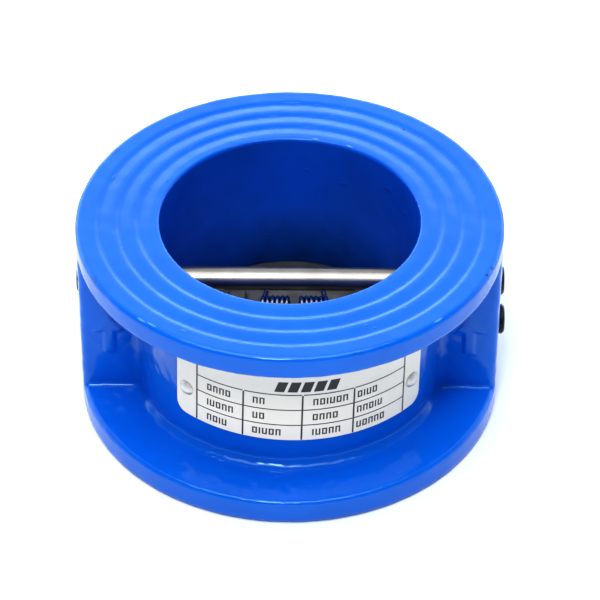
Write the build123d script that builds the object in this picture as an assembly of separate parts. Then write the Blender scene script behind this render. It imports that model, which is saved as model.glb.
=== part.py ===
from build123d import *
import math
import os

# Wafer dual-plate check valve, DN50, for PN16 pipe flanges. All sizes are in millimetres.
# Origin: centre of the inlet face. +Z is the flow direction, towards the outlet face.
# +X lies along the hinge pin. -Y is the side that carries the nameplate.

# Body casting
body_radius = 53.5              # sits inside the M16 studs on the 125 mm bolt circle
face_to_face = 54.0
inlet_flange_thickness = 7.0
outlet_flange_thickness = 6.5
barrel_radius = 39.5
rim_round = 1.2
flange_root_fillet = 3.0
web_half_width = 10.0
web_root_fillet = 2.0
web_edge_round = 1.2
chamber_radius = 32.5
chamber_floor = 9.5
chamber_mouth_round = 0.8
groove_radii = (37.3, 42.2, 47.3)   # of each groove's lowest circle
groove_depth = 0.5
groove_inner_run = 2.4          # the gentle side, towards the bore
groove_outer_run = 1.1          # the steep side

# Inlet ports, two D shapes either side of a central bar
port_radius = 25.5
port_bar_half_width = 4.0
port_corner_round = 3.0

# Bonded rubber seat
seat_thickness = 3.0
lining_thickness = 1.5
lining_bottom = 2.0

# Pins, both along X
pin_radius = 3.0
pin_end = 44.3
pin_end_chamfer = 0.4
hinge_height = 21.5
stop_height = 34.3
running_clearance = 0.05

# Threaded plugs and their seals, at both ends of both pins
plug_radius = 4.0
plug_thread_clearance = 0.03
plug_hole_bottom = 44.5
plug_chamfer = 0.7
seal_thickness = 1.0
socket_across_flats = 4.0
socket_depth = 3.5
plug_protrusions = {
    "hinge_plug_left": (-1, hinge_height, 0.0),
    "hinge_plug_right": (1, hinge_height, 1.3),
    "stop_plug_left": (-1, stop_height, 0.3),
    "stop_plug_right": (1, stop_height, 0.7),
}

# Half-disc plates
plate_radius = 29.8
plate_thickness = 3.3
plate_seat_gap = 0.05
plate_gap_to_centre = 0.6
plate_edge_chamfer = 0.6
plate_corner_round = 1.5
lug_radius = 5.0
lug_root = 1.0                  # how deep a lug's solid starts inside the plate
inner_lug = (10.9, 16.5)
outer_lug = (22.0, 28.0)
rib_inset = 0.5
rib_top_below_hinge = 2.0       # the rib meets the stop pin at 85 degrees open
rib_reach = 16.0
rib_toe_run = 2.5

# Bearing sleeves on the hinge pin
bearing_radius = 4.6
bearing_end_gap = 0.2
body_bearing_outer_end = 32.0

# Torsion springs, side by side on the hinge pin
wire_radius = 0.6
coil_radius = 5.0
coil_pitch = 1.24
coil_turns = 6
spring_leg_length = 17.0
left_spring_start = -7.55
right_spring_start = 2.5

# Nameplate and its two drive rivets
nameplate_thickness = 0.5
nameplate_left = -27.8
nameplate_right = 32.7
nameplate_bottom = 15.6
nameplate_top = 38.4
nameplate_corner_round = 3.0
nameplate_tilt = -1.4           # degrees, low towards +X
rivet_places = ((-25.2, 25.0), (30.6, 23.4))
rivet_head_radius = 2.1
rivet_head_height = 0.95
rivet_shank_radius = 0.9
rivet_shank_length = 5.0
rivet_hole_clearance = 0.05
rivet_hole_extra_depth = 0.3

# Cast flow arrow on the front face of each web
arrow_x = 45.5
arrow_bottom = 18.0
arrow_length = 13.0
arrow_shaft_half_width = 1.1
arrow_head_half_width = 3.2
arrow_head_length = 5.0
arrow_relief = 0.5
arrow_root = 0.5                # how deep the arrow's solid starts inside the web

# Construction
overcut = 1.0                   # how far a cutting shape runs past the surface it cuts
beyond = 200.0                  # larger than the whole valve
match = 0.01                    # how closely a point must lie on a radius to be picked

plate_underside = chamber_floor + seat_thickness + plate_seat_gap
plate_back = plate_underside + plate_thickness


def prism(section, bottom, top):
    """A flat section extruded between two heights."""
    return Pos(0, 0, bottom) * extrude(section, top - bottom)


def rod_x(radius, start, end, height):
    """A round bar along X."""
    middle = Pos((start + end) / 2, 0, height) * Rot(0, 90, 0)
    return middle * Cylinder(radius, end - start)


def ring_x(outer, inner, start, end, height):
    """A sleeve along X."""
    return rod_x(outer, start, end, height) - rod_x(inner, start - overcut, end + overcut, height)


def half_disc(radius, flat_offset, corner_round):
    """A D-shaped face on the +Y side, with its flat at y = flat_offset."""
    keep = Pos(0, flat_offset + radius) * Rectangle(2 * radius, 2 * radius)
    outline = Circle(radius) & keep
    return fillet(outline.vertices(), corner_round)


def both_sides(section):
    """A section and its copy turned half a turn about Z."""
    return section + Rot(0, 0, 180) * section


def turned_blank():
    """The barrel with its two flanges, before the bores."""
    outlet_root = face_to_face - outlet_flange_thickness
    points = [
        (0, 0),
        (body_radius, 0),
        (body_radius, inlet_flange_thickness),
        (barrel_radius, inlet_flange_thickness),
        (barrel_radius, outlet_root),
        (body_radius, outlet_root),
        (body_radius, face_to_face),
        (0, face_to_face),
    ]
    section = make_face(Polyline(*points, close=True))
    for radius, rounding in ((body_radius, rim_round), (barrel_radius, flange_root_fillet)):
        corners = section.vertices().filter_by(lambda v: abs(v.X - radius) < match)
        section = fillet(corners, rounding)
    return revolve(Plane.XZ * section, Axis.Z)


def web_section():
    """The barrel's cross section with its two side webs."""
    bar = Rectangle(2 * (body_radius + overcut), 2 * web_half_width) & Circle(body_radius)
    bar = fillet(bar.vertices(), web_edge_round)
    section = bar + Circle(barrel_radius)
    near_barrel = section.vertices().filter_by(
        lambda v: abs(math.hypot(v.X, v.Y) - barrel_radius) < match
    )
    return fillet(near_barrel, web_root_fillet)


def outlet_chamber():
    """The bore above the seat, with a rounded mouth, as the space to cut away."""
    round_bottom = face_to_face - chamber_mouth_round
    mouth_radius = chamber_radius + chamber_mouth_round
    arc_reach = chamber_mouth_round * math.sin(math.radians(45))
    arc_middle = (mouth_radius - arc_reach, round_bottom + arc_reach)
    outline = Polyline(
        (mouth_radius, face_to_face),
        (mouth_radius, face_to_face + overcut),
        (0, face_to_face + overcut),
        (0, chamber_floor),
        (chamber_radius, chamber_floor),
        (chamber_radius, round_bottom),
    )
    outline += ThreePointArc((chamber_radius, round_bottom), arc_middle, (mouth_radius, face_to_face))
    return revolve(Plane.XZ * make_face(outline), Axis.Z)


def face_groove(radius, face_height, outward):
    """A ring with a lopsided V section that cuts one gasket groove into a face."""
    above = face_height + outward * overcut
    section = Polyline(
        (radius - groove_inner_run, face_height),
        (radius, face_height - outward * groove_depth),
        (radius + groove_outer_run, face_height),
        (radius + groove_outer_run, above),
        (radius - groove_inner_run, above),
        close=True,
    )
    return revolve(Plane.XZ * make_face(section), Axis.Z)


def flow_arrow(x):
    """A raised arrow, pointing from inlet to outlet, on a web's front face."""
    shaft_top = arrow_bottom + arrow_length - arrow_head_length
    points = [
        (x - arrow_shaft_half_width, arrow_bottom),
        (x + arrow_shaft_half_width, arrow_bottom),
        (x + arrow_shaft_half_width, shaft_top),
        (x + arrow_head_half_width, shaft_top),
        (x, arrow_bottom + arrow_length),
        (x - arrow_head_half_width, shaft_top),
        (x - arrow_shaft_half_width, shaft_top),
    ]
    outline = make_face(Polyline(*points, close=True))
    relief = extrude(Plane.XZ * outline, web_half_width + arrow_relief)
    return relief - Box(beyond, 2 * (web_half_width - arrow_root), beyond)


def rivet_location(place):
    """The seat of one rivet on the nameplate, with local +Z pointing outwards."""
    x, height = place
    surface = barrel_radius + nameplate_thickness
    azimuth = math.degrees(math.asin(x / surface))
    return Pos(0, 0, height) * Rot(0, 0, azimuth) * Pos(0, -surface, 0) * Rot(90, 0, 0)


def rivet_hole(place):
    """The drilled hole for one rivet, as the space to cut away."""
    radius = rivet_shank_radius + rivet_hole_clearance
    depth = rivet_shank_length + rivet_hole_extra_depth
    return rivet_location(place) * Cylinder(radius, 2 * depth)


def pin_hole(height):
    """One pin's passage through both walls, with a tapped mouth at each end."""
    passage = rod_x(pin_radius + running_clearance, -body_radius, body_radius, height)
    for side in (-1, 1):
        ends = sorted((side * plug_hole_bottom, side * (body_radius + overcut)))
        passage += rod_x(plug_radius, ends[0], ends[1], height)
    return passage


def body_casting():
    """The cast iron body with its bores, grooves, pin holes and flow arrows."""
    waist = prism(web_section(), rim_round, face_to_face - rim_round)
    body = turned_blank() + waist
    body -= outlet_chamber()
    ports = both_sides(half_disc(port_radius, port_bar_half_width, port_corner_round))
    body -= prism(ports, -overcut, chamber_floor + overcut)
    for radius in groove_radii:
        body -= face_groove(radius, face_to_face, 1)
        body -= face_groove(radius, 0, -1)
    for height in (hinge_height, stop_height):
        body -= pin_hole(height)
    for place in rivet_places:
        body -= rivet_hole(place)
    for side in (-1, 1):
        body += flow_arrow(side * arrow_x)
    return body


def seat_ring():
    """The rubber bonded to the chamber floor and down the walls of both ports."""
    port = half_disc(
        port_radius - lining_thickness,
        port_bar_half_width + lining_thickness,
        port_corner_round - lining_thickness,
    )
    iron_port = half_disc(port_radius, port_bar_half_width, port_corner_round)
    top = chamber_floor + seat_thickness
    seat = prism(Circle(chamber_radius), chamber_floor, top)
    seat += prism(both_sides(iron_port), lining_bottom, chamber_floor)
    return seat - prism(both_sides(port), lining_bottom - overcut, top + overcut)


def plate_lug(start, end):
    """One hinge lug: a barrel on the pin, its foot, and the rib that meets the stop pin."""
    width = end - start
    middle = (start + end) / 2
    root = plate_back - lug_root
    lug = rod_x(lug_radius, start, end, hinge_height)
    foot = Box(width, lug_radius - plate_gap_to_centre, hinge_height - root)
    foot_y = (lug_radius + plate_gap_to_centre) / 2
    lug += Pos(middle, foot_y, (hinge_height + root) / 2) * foot
    rib_top = hinge_height - rib_top_below_hinge
    rib_outline = [
        (0, root),
        (0, rib_top),
        (rib_reach - rib_toe_run, rib_top),
        (rib_reach, root),
    ]
    side_view = make_face(Polyline(*rib_outline, close=True))
    rib_width = width - 2 * rib_inset
    rib = Pos(middle - rib_width / 2, 0, 0) * extrude(Plane.YZ * side_view, rib_width)
    return lug + rib


def rear_plate():
    """The half-disc that swings up on the +Y side."""
    outline = half_disc(plate_radius, plate_gap_to_centre, plate_corner_round)
    plate = prism(outline, plate_underside, plate_back)
    back_edges = plate.faces().sort_by(Axis.Z)[-1].edges()
    plate = chamfer(back_edges, plate_edge_chamfer)
    past_centre = Pos(0, plate_gap_to_centre - beyond / 2, 0) * Box(beyond, beyond, 2 * plate_back)
    for start, end in ((-inner_lug[1], -inner_lug[0]), outer_lug):
        under = Pos((start + end) / 2, 0, plate_underside / 2) * Box(beyond, beyond, plate_underside)
        plate += plate_lug(start, end) - under - past_centre
        bore_radius = pin_radius + running_clearance
        plate -= rod_x(bore_radius, start - overcut, end + overcut, hinge_height)
    return plate


def steel_pin(height):
    """A round bar across the valve with chamfered ends."""
    pin = rod_x(pin_radius, -pin_end, pin_end, height)
    return chamfer(pin.edges().filter_by(GeomType.CIRCLE), pin_end_chamfer)


def plug(side, height, protrusion):
    """A hexagon-socket plug in its tapped hole, local +Z towards the outside."""
    inner = plug_hole_bottom + seal_thickness
    length = body_radius + protrusion - inner
    blank = Cylinder(
        plug_radius - plug_thread_clearance, length, align=(Align.CENTER, Align.CENTER, Align.MIN)
    )
    blank = chamfer(blank.edges().filter_by(GeomType.CIRCLE), plug_chamfer)
    hexagon = RegularPolygon(socket_across_flats / 2, 6, major_radius=False)
    blank -= prism(hexagon, length - socket_depth, length + overcut)
    return Pos(side * inner, 0, height) * Rot(0, side * 90, 0) * blank


def plug_seal(side, height):
    """The soft disc between a pin's end and its plug."""
    ends = sorted((side * plug_hole_bottom, side * (plug_hole_bottom + seal_thickness)))
    return rod_x(plug_radius - plug_thread_clearance, ends[0], ends[1], height)


def torsion_spring(start_x, left_handed):
    """A close-wound coil whose two legs leave its lowest point, one over each plate."""
    helix = Helix(coil_pitch, coil_pitch * coil_turns, coil_radius, lefthand=left_handed)
    first_leg = Line(helix @ 0 - (helix % 0) * spring_leg_length, helix @ 0)
    last_leg = Line(helix @ 1, helix @ 1 + (helix % 1) * spring_leg_length)
    route = Wire([first_leg.edge(), helix.edge(), last_leg.edge()])
    section = Plane(origin=first_leg @ 0, z_dir=first_leg % 0) * Circle(wire_radius)
    spring = sweep(section, path=route)
    on_pin = Plane(origin=(start_x, 0, hinge_height), x_dir=(0, 0, -1), z_dir=(1, 0, 0))
    return on_pin * spring


def bearings():
    """The four sleeves that keep lugs and body walls apart on the hinge pin."""
    inner = pin_radius + running_clearance
    between_lugs = (inner_lug[1] + bearing_end_gap, outer_lug[0] - bearing_end_gap)
    beside_wall = (outer_lug[1] + bearing_end_gap, body_bearing_outer_end)
    sleeves = {}
    for name, (near, far) in (("plate_bearing", between_lugs), ("body_bearing", beside_wall)):
        sleeves[name + "_left"] = ring_x(bearing_radius, inner, -far, -near, hinge_height)
        sleeves[name + "_right"] = ring_x(bearing_radius, inner, near, far, hinge_height)
    return sleeves


def nameplate():
    """A thin sheet bent to the barrel, with rounded corners and two rivet holes."""
    outer = barrel_radius + nameplate_thickness
    shell = Cylinder(outer, beyond) - Cylinder(barrel_radius, 2 * beyond)
    width = nameplate_right - nameplate_left
    tall = nameplate_top - nameplate_bottom
    outline = RectangleRounded(width, tall, nameplate_corner_round)
    centre_x = (nameplate_left + nameplate_right) / 2
    centre_z = (nameplate_bottom + nameplate_top) / 2
    outline = Pos(centre_x, centre_z) * Rot(0, 0, nameplate_tilt) * outline
    sheet = shell & extrude(Plane.XZ * outline, 2 * barrel_radius)
    for place in rivet_places:
        sheet -= rivet_hole(place)
    return sheet


def nameplate_rivets():
    """Two drive rivets with domed heads."""
    cap_radius = (rivet_head_radius**2 + rivet_head_height**2) / (2 * rivet_head_height)
    dome = Pos(0, 0, rivet_head_height - cap_radius) * Sphere(cap_radius)
    dome &= Pos(0, 0, beyond / 2) * Box(beyond, beyond, beyond)
    shank = Pos(0, 0, -rivet_shank_length / 2) * Cylinder(rivet_shank_radius, rivet_shank_length)
    rivet = dome + shank
    return Compound(children=[rivet_location(place) * rivet for place in rivet_places])


def valve():
    """Every piece of the valve, by name."""
    rear = rear_plate()
    parts = {
        "body": body_casting(),
        "seat_ring": seat_ring(),
        "rear_plate": rear,
        "front_plate": Rot(0, 0, 180) * rear,
        "hinge_pin": steel_pin(hinge_height),
        "stop_pin": steel_pin(stop_height),
        "left_spring": torsion_spring(left_spring_start, left_handed=True),
        "right_spring": torsion_spring(right_spring_start, left_handed=False),
        "nameplate": nameplate(),
        "nameplate_rivets": nameplate_rivets(),
    }
    parts.update(bearings())
    for name, (side, height, protrusion) in plug_protrusions.items():
        parts[name] = plug(side, height, protrusion)
        parts[name.replace("plug", "seal")] = plug_seal(side, height)
    return parts


os.makedirs("parts", exist_ok=True)
for node_name, shape in valve().items():
    export_step(shape, f"parts/{node_name}.step")
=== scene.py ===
import math

import bmesh
import bpy
import numpy as np
from mathutils import Matrix, Vector


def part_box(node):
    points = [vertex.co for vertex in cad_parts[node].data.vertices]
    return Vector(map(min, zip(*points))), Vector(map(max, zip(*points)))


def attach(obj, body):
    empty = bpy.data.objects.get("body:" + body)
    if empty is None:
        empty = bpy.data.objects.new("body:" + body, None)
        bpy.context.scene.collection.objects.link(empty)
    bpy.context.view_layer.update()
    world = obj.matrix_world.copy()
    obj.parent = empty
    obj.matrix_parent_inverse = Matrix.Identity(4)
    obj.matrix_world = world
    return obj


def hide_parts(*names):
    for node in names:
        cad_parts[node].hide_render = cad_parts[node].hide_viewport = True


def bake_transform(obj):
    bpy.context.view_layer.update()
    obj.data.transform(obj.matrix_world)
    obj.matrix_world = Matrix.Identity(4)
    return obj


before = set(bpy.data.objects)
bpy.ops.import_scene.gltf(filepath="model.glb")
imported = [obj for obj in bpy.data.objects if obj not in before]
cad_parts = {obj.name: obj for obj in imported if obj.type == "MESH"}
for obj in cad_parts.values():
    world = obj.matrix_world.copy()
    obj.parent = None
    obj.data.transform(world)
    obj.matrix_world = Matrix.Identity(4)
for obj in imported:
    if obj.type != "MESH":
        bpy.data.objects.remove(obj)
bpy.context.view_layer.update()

# A wafer dual-plate check valve. Shapes are worked out in millimetres and stored in metres.
# Origin: centre of the inlet face. +Z is the flow direction, +X lies along the pins, -Y is the front.
MM = 0.001
ROOT = "valve_body"
REAR = "rear_plate"
FRONT = "front_plate"


def box_mm(node):
    """Lowest and highest corners of a CAD node, in millimetres."""
    low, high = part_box(node)
    return np.array(low) / MM, np.array(high) / MM


# Sizes that the frame gives
BODY_LOW, BODY_HIGH = box_mm("body")
SEAT_LOW, SEAT_HIGH = box_mm("seat_ring")
PLATE_LOW, PLATE_HIGH = box_mm("rear_plate")
HINGE_LOW, HINGE_HIGH = box_mm("hinge_pin")
STOP_LOW, STOP_HIGH = box_mm("stop_pin")

BODY_RADIUS = BODY_HIGH[0]
FACE_TO_FACE = BODY_HIGH[2]
CHAMBER_RADIUS = SEAT_HIGH[0]
SEAT_TOP = SEAT_HIGH[2]
PIN_RADIUS = HINGE_HIGH[1]
HINGE_Z = (HINGE_LOW[2] + HINGE_HIGH[2]) / 2
STOP_Z = (STOP_LOW[2] + STOP_HIGH[2]) / 2

# Sizes of the casting that no box gives
INLET_FLANGE = 7.0
OUTLET_FLANGE = 6.5
BARREL_RADIUS = 39.5
RIM_ROUND = 1.3
ROOT_FILLET = 3.0
WEB_HALF_WIDTH = 10.0
WEB_FILLET = 2.0
WEB_END_FILLET = 1.0
WEB_FILLET_START = 35.5
WEB_FILLET_RUN = 4.0
CHAMBER_FLOOR = 9.5
MOUTH_ROUND = 0.8
GROOVE_RADII = (37.6, 42.5, 47.6)
GROOVE_DEPTH = 0.48
GROOVE_INNER_RUN = 2.8
GROOVE_OUTER_RUN = 1.1
GROOVE_SOFTNESS = 0.4
PORT_RADIUS = 25.5
PORT_BAR_HALF = 4.0
PORT_CORNER = 3.0
PORT_EDGE_ROUND = 0.8
HOLE_EDGE_ROUND = 0.3
TAPPED_RADIUS = 4.06
TAPPED_BOTTOM = 44.5
ARROW_X = 45.5
ARROW_BOTTOM = 18.5
ARROW_TOP = 30.0
ARROW_HEAD = 4.6
ARROW_SHAFT_HALF = 1.15
ARROW_HEAD_HALF = 3.4
ARROW_RELIEF = 0.55
ARROW_ROOT = 2.0
ARROW_FILLET = 0.9
ARROW_EDGE_ROUND = 0.5
LINING = 1.5
LINING_BOTTOM = 2.0
SEAT_EDGE_ROUND = 0.5

# Sizes of the plates
PLATE_THICKNESS = 3.3
PLATE_RADIUS = 29.8
PLATE_UNDERSIDE = PLATE_LOW[2]
PLATE_BACK = PLATE_UNDERSIDE + PLATE_THICKNESS
PLATE_FLAT = 0.6
PLATE_CORNER_ROUND = 1.5
PLATE_EDGE_ROUND = 0.7
LUG_RADIUS = 5.0
LUG_FILLET = 1.0
LUG_EDGE_ROUND = 0.5
LUGS = ((-16.5, -10.9), (22.0, 28.0))
RIB_TOP = HINGE_Z - 2.0
RIB_REACH = 16.0
RIB_TOE = 2.5
RIB_INSET = 0.5
RIB_TOP_ROUND = 0.8
RIB_SIDE_ROUND = 0.6
PIN_BORE = PIN_RADIUS + 0.05

# How far shapes that are joined run into each other
OVERLAP = 1.0

# How finely each shape is sampled, and how its points settle on the surface
BODY_GRID = 0.7
SEAT_GRID = 0.6
PLATE_GRID = 0.5
SETTLING_MOVES = 4
LEAST_SLOPE = 0.5


# ---- distance fields

def round_union(a, b, radius):
    """Two fields joined, with a concave fillet of that radius where they meet."""
    u = np.maximum(radius - a, 0)
    v = np.maximum(radius - b, 0)
    return np.maximum(radius, np.minimum(a, b)) - np.hypot(u, v)


def round_common(a, b, radius):
    """What two fields share, with the edge between them rounded."""
    return -round_union(-a, -b, radius)


def round_cut(a, b, radius):
    """Field a with b taken away, with the rim of the cut rounded."""
    return round_common(a, -b, radius)


def lumps(seed, count, shortest, longest, height):
    """A smooth, irregular height field: waves in random directions, added up."""
    rng = np.random.default_rng(seed)
    way = rng.normal(size=(count, 3))
    way /= np.linalg.norm(way, axis=1)[:, None]
    waves = 2 * math.pi * way / np.geomspace(shortest, longest, count)[:, None]
    phase = rng.uniform(0, 2 * math.pi, count)

    def at(x, y, z):
        total = np.zeros_like(x)
        for (kx, ky, kz), shift in zip(waves, phase):
            total += np.sin(kx * x + ky * y + kz * z + shift)
        return total * height / math.sqrt(count)

    return at


def slope_of(field, points, reach=0.02):
    """The field's gradient at each point."""
    slope = np.empty_like(points)
    for axis in range(3):
        step = np.zeros(3)
        step[axis] = reach
        ahead = field(*(points + step).T)
        behind = field(*(points - step).T)
        slope[:, axis] = (ahead - behind) / (2 * reach)
    return slope


def cell_points(value, cells):
    """The mean of the places where the surface crosses each cell's edges, in cell units."""
    corners = np.array([(i, j, k) for i in (0, 1) for j in (0, 1) for k in (0, 1)])
    at = [value[tuple((cells + c).T)] for c in corners]
    total = np.zeros((len(cells), 3))
    count = np.zeros(len(cells))
    for a in range(8):
        for b in range(a + 1, 8):
            if np.abs(corners[a] - corners[b]).sum() != 1:
                continue
            crossed = (at[a] < 0) != (at[b] < 0)
            gap = np.where(crossed, at[a] - at[b], 1)
            share = np.where(crossed, at[a] / gap, 0)[:, None]
            place = corners[a] + share * (corners[b] - corners[a])
            total += np.where(crossed[:, None], place, 0)
            count += crossed
    return cells + total / count[:, None]


def net_quads(inside, index):
    """One quad round each grid edge that the surface crosses, facing outwards."""
    quads = []
    for axis in range(3):
        u = (axis + 1) % 3
        v = (axis + 2) % 3
        first = [slice(1, -1)] * 3
        first[axis] = slice(0, -1)
        second = list(first)
        second[axis] = slice(1, None)
        leaving = inside[tuple(first)] & ~inside[tuple(second)]
        entering = ~inside[tuple(first)] & inside[tuple(second)]
        for found, flip in ((leaving, False), (entering, True)):
            start = np.argwhere(found) + 1
            start[:, axis] -= 1
            ring = []
            for du, dv in ((0, 0), (1, 0), (1, 1), (0, 1)):
                cell = start.copy()
                cell[:, u] -= du
                cell[:, v] -= dv
                ring.append(index[tuple(cell.T)])
            if flip:
                ring.reverse()
            quads.append(np.stack(ring, axis=1))
    return np.concatenate(quads)


def surface_net(shape, finish, low, high, step):
    """Points, quads and normals of the surface where a field is zero.

    shape is the clean field that is sampled on the grid. finish is the field that the points
    settle on: the same one, or one with lumps."""
    axes = [np.arange(a - step, b + 2 * step, step) for a, b in zip(low, high)]
    value = shape(*np.meshgrid(*axes, indexing="ij"))
    inside = value < 0
    counted = np.zeros(np.array(inside.shape) - 1, int)
    for i in (0, 1):
        for j in (0, 1):
            for k in (0, 1):
                end = [n - 1 + s for n, s in zip(inside.shape, (i, j, k))]
                counted += inside[i : end[0], j : end[1], k : end[2]]
    cells = np.argwhere((counted > 0) & (counted < 8))
    index = np.full(counted.shape, -1)
    index[tuple(cells.T)] = np.arange(len(cells))
    points = cell_points(value, cells) * step + np.array([a[0] for a in axes])
    for _ in range(SETTLING_MOVES):
        slope = slope_of(finish, points)
        steep = np.maximum((slope**2).sum(axis=1), LEAST_SLOPE**2)
        move = slope * (finish(*points.T) / steep)[:, None]
        points -= np.clip(move, -step / 2, step / 2)
    slope = slope_of(finish, points)
    normals = slope / np.maximum(np.linalg.norm(slope, axis=1), 1e-9)[:, None]
    return points, net_quads(inside, index), normals


# ---- meshes

def linked(name, mesh):
    """An object of that mesh, in the scene."""
    piece = bpy.data.objects.new(name, mesh)
    bpy.context.scene.collection.objects.link(piece)
    return piece


def new_piece(name, points, faces, normals=None):
    """A smooth mesh object from points in millimetres."""
    mesh = bpy.data.meshes.new(name)
    mesh.from_pydata((np.asarray(points) * MM).tolist(), [], np.asarray(faces, dtype=object).tolist())
    mesh.validate()
    mesh.shade_smooth()
    if normals is not None:
        mesh.normals_split_custom_set_from_vertices(np.asarray(normals).tolist())
    return linked(name, mesh)


def settle(piece, body, slot, *nodes):
    """Put a piece on its moving body, in place of its CAD nodes. Its slot is not used."""
    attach(piece, body)
    if nodes:
        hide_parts(*nodes)
    return piece


def field_piece(name, shape, finish, low, high, step):
    """A mesh object of a field's surface."""
    points, quads, normals = surface_net(shape, finish, low, high, step)
    return new_piece(name, points, quads, normals)


def ports(radius, y, inset=0.0):
    """The two inlet ports, made smaller all round by an inset."""
    bar = PORT_BAR_HALF + inset - np.abs(y)
    return round_common(radius - PORT_RADIUS + inset, bar, PORT_CORNER - inset)


def body_shape(x, y, z):
    """The casting: barrel, two flanges, side webs, bores and gasket grooves."""
    radius = np.hypot(x, y)
    middle = FACE_TO_FACE / 2
    face = middle - face_grooves(radius)
    outline = round_common(radius - BODY_RADIUS, np.abs(z - middle) - face, RIM_ROUND)
    inlet = round_common(radius - BODY_RADIUS, z - INLET_FLANGE, RIM_ROUND)
    outlet = round_common(radius - BODY_RADIUS, FACE_TO_FACE - OUTLET_FLANGE - z, RIM_ROUND)
    web = round_common(np.abs(y) - WEB_HALF_WIDTH, radius - BODY_RADIUS, RIM_ROUND)
    outward = np.clip((np.abs(x) - WEB_FILLET_START) / WEB_FILLET_RUN, 0, 1)
    fillet = ROOT_FILLET + (WEB_END_FILLET - ROOT_FILLET) * outward
    solid = round_union(radius - BARREL_RADIUS, web, WEB_FILLET)
    solid = round_union(solid, flow_arrows(x, y, z), ARROW_FILLET)
    solid = round_union(solid, inlet, fillet)
    solid = round_union(solid, outlet, fillet)
    solid = np.maximum(solid, outline)
    solid = round_cut(solid, ports(radius, y), PORT_EDGE_ROUND)
    chamber = np.maximum(radius - CHAMBER_RADIUS, CHAMBER_FLOOR - z)
    solid = round_cut(solid, chamber, MOUTH_ROUND)
    for height in (HINGE_Z, STOP_Z):
        from_axis = np.hypot(y, z - height)
        tapped = np.maximum(from_axis - TAPPED_RADIUS, TAPPED_BOTTOM - np.abs(x))
        solid = round_cut(solid, np.minimum(from_axis - PIN_BORE, tapped), HOLE_EDGE_ROUND)
    return solid


def face_grooves(radius):
    """How deep the three grooves are at a radius: gentle inside, steep outside, soft-edged."""
    depth = np.zeros_like(radius)
    shifts = np.linspace(-GROOVE_SOFTNESS, GROOVE_SOFTNESS, 7)
    for lowest in GROOVE_RADII:
        for shift in shifts:
            beyond = radius + shift - lowest
            share = np.minimum(1 + beyond / GROOVE_INNER_RUN, 1 - beyond / GROOVE_OUTER_RUN)
            depth += np.maximum(share, 0) * GROOVE_DEPTH / len(shifts)
    return depth


def flow_arrows(x, y, z):
    """A raised arrow towards the outlet, on the front face of each web."""
    across = np.abs(np.abs(x) - ARROW_X)
    head_base = ARROW_TOP - ARROW_HEAD
    lean = math.atan2(ARROW_HEAD_HALF, ARROW_HEAD)
    edge = (across - ARROW_HEAD_HALF) * math.cos(lean) + (z - head_base) * math.sin(lean)
    head = np.maximum(edge, head_base - z)
    shaft = np.maximum(across - ARROW_SHAFT_HALF, np.maximum(ARROW_BOTTOM - z, z - head_base - OVERLAP))
    outline = np.minimum(head, shaft)
    face = np.maximum(-y - WEB_HALF_WIDTH - ARROW_RELIEF, y + WEB_HALF_WIDTH - ARROW_ROOT)
    return round_common(outline, face, ARROW_EDGE_ROUND)


def seat_shape(x, y, z):
    """The moulded rubber: a disc on the chamber floor and a lining in both ports."""
    radius = np.hypot(x, y)
    disc = np.maximum(radius - CHAMBER_RADIUS, np.maximum(CHAMBER_FLOOR - z, z - SEAT_TOP))
    lining = np.maximum(ports(radius, y), np.maximum(LINING_BOTTOM - z, z - CHAMBER_FLOOR - OVERLAP))
    return round_cut(np.minimum(disc, lining), ports(radius, y, LINING), SEAT_EDGE_ROUND)


def plate_lug(x, y, z, start, end):
    """One hinge lug with its foot and its stop rib, and its barrel alone, before the bore."""
    middle = (start + end) / 2
    half = (end - start) / 2
    across = np.abs(x - middle)
    barrel = np.hypot(y, z - HINGE_Z) - LUG_RADIUS
    foot = np.maximum(y - LUG_RADIUS, z - HINGE_Z)
    toe = math.atan2(RIB_TOE, RIB_TOP - PLATE_BACK + OVERLAP)
    slope = (y - RIB_REACH + RIB_TOE) * math.cos(toe) + (z - RIB_TOP) * math.sin(toe)
    rib = round_common(z - RIB_TOP, slope, RIB_TOP_ROUND)
    rib = round_common(rib, across - half + RIB_INSET, RIB_SIDE_ROUND)
    knuckle = round_common(np.minimum(barrel, foot), across - half, LUG_EDGE_ROUND)
    return round_union(knuckle, rib, LUG_FILLET), np.maximum(barrel, across - half)


def plate_shape(x, y, z):
    """The rear plate: a half disc with two lugs."""
    radius = np.hypot(x, y)
    own_side = PLATE_FLAT - y
    outline = round_common(radius - PLATE_RADIUS, own_side, PLATE_CORNER_ROUND)
    plate = round_common(outline, z - PLATE_BACK, PLATE_EDGE_ROUND)
    for start, end in LUGS:
        lug, barrel = plate_lug(x, y, z, start, end)
        plate = np.maximum(round_union(plate, lug, LUG_FILLET), np.minimum(barrel, own_side))
    plate = np.maximum(plate, PLATE_UNDERSIDE - z)
    return round_cut(plate, np.hypot(y, z - HINGE_Z) - PIN_BORE, HOLE_EDGE_ROUND)


def with_lumps(shape, height_field):
    """A field whose surface is raised by a height field."""
    def field(x, y, z):
        return shape(x, y, z) - height_field(x, y, z)
    return field


def paint_coat():
    """How thick the paint lies: even on the two faces and thicker and lumpier between the flanges."""
    even = lumps(seed=11, count=26, shortest=4.0, longest=17.0, height=0.03)
    runs = lumps(seed=23, count=30, shortest=2.6, longest=9.0, height=0.05)
    waist_start = 5.5
    waist_run = 2.0
    outside = 35

    def at(x, y, z):
        waist = np.clip((np.minimum(z, FACE_TO_FACE - z) - waist_start) / waist_run, 0, 1)
        return even(x, y, z) + waist * (np.hypot(x, y) > outside) * runs(x, y, z)

    return at


def make_body():
    """The casting under its coat of paint."""
    painted = with_lumps(body_shape, paint_coat())
    piece = field_piece("valve_casting", body_shape, painted, BODY_LOW, BODY_HIGH, BODY_GRID)
    return settle(piece, ROOT, "blue_epoxy", "body")


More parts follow.
